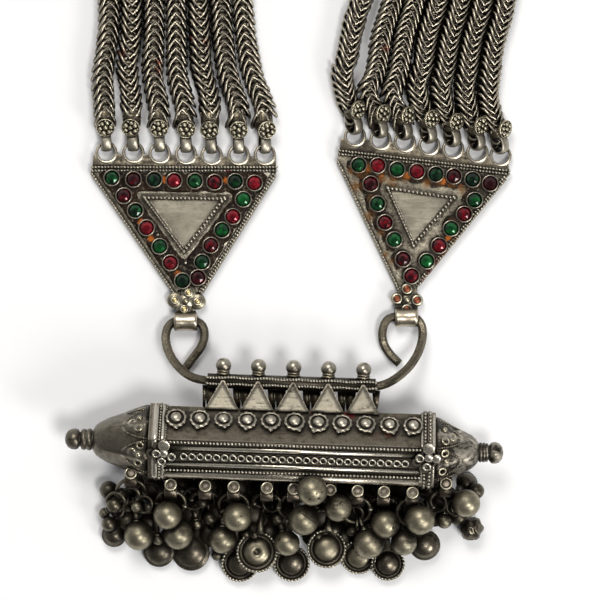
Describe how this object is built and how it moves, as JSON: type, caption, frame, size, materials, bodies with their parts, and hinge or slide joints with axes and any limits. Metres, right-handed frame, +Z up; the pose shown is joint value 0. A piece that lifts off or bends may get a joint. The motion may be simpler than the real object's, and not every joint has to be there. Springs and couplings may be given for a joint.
{
  "type": "long necklace",
  "caption": "Long tarnished silver necklace: foxtail chains, gem-set triangular plates and a hexagonal amulet case with a fringe of bells, laid flat",
  "frame": {"origin": "middle of the whole laid necklace on the surface that it lies on", "axes": "+Z up from the surface, +Y from the amulet case toward the back of the neck, +X to the viewer's right"},
  "size_m": [0.1839, 0.4067, 0.0219],
  "materials": {
    "silver": "satin",
    "dark_silver": "satin",
    "red_glass": "gloss",
    "green_glass": "gloss"
  },
  "bodies": {
    "root": {"amulet_case": "silver", "left_end_cap": "silver", "right_end_cap": "silver", "hook_wire": "silver", "left_plate": "silver", "right_plate": "silver", "left_chain_end_1": "silver", "left_chain_end_2": "silver", "left_chain_end_3": "silver", "left_chain_end_4": "silver", "left_chain_end_5": "silver", "left_chain_end_6": "silver", "left_chain_end_7": "silver", "right_chain_end_1": "silver", "right_chain_end_2": "silver", "right_chain_end_3": "silver", "right_chain_end_4": "silver", "right_chain_end_5": "silver", "right_chain_end_6": "silver", "right_chain_end_7": "silver", "bell_cluster_1": "silver", "bell_cluster_2": "silver", "bell_cluster_3": "silver", "bell_cluster_4": "silver", "bell_cluster_5": "silver", "bell_cluster_6": "silver", "bell_cluster_7": "silver", "bell_cluster_8": "silver", "bell_cluster_9": "silver", "bell_cluster_10": "silver", "bell_cluster_11": "silver", "chain_1": "dark_silver", "chain_2": "dark_silver", "chain_3": "dark_silver", "chain_4": "dark_silver", "chain_5": "dark_silver", "chain_6": "dark_silver", "chain_7": "dark_silver", "left_red_stones": "red_glass", "right_red_stones": "red_glass", "left_green_stones": "green_glass", "right_green_stones": "green_glass"}
  },
  "joints": []
}
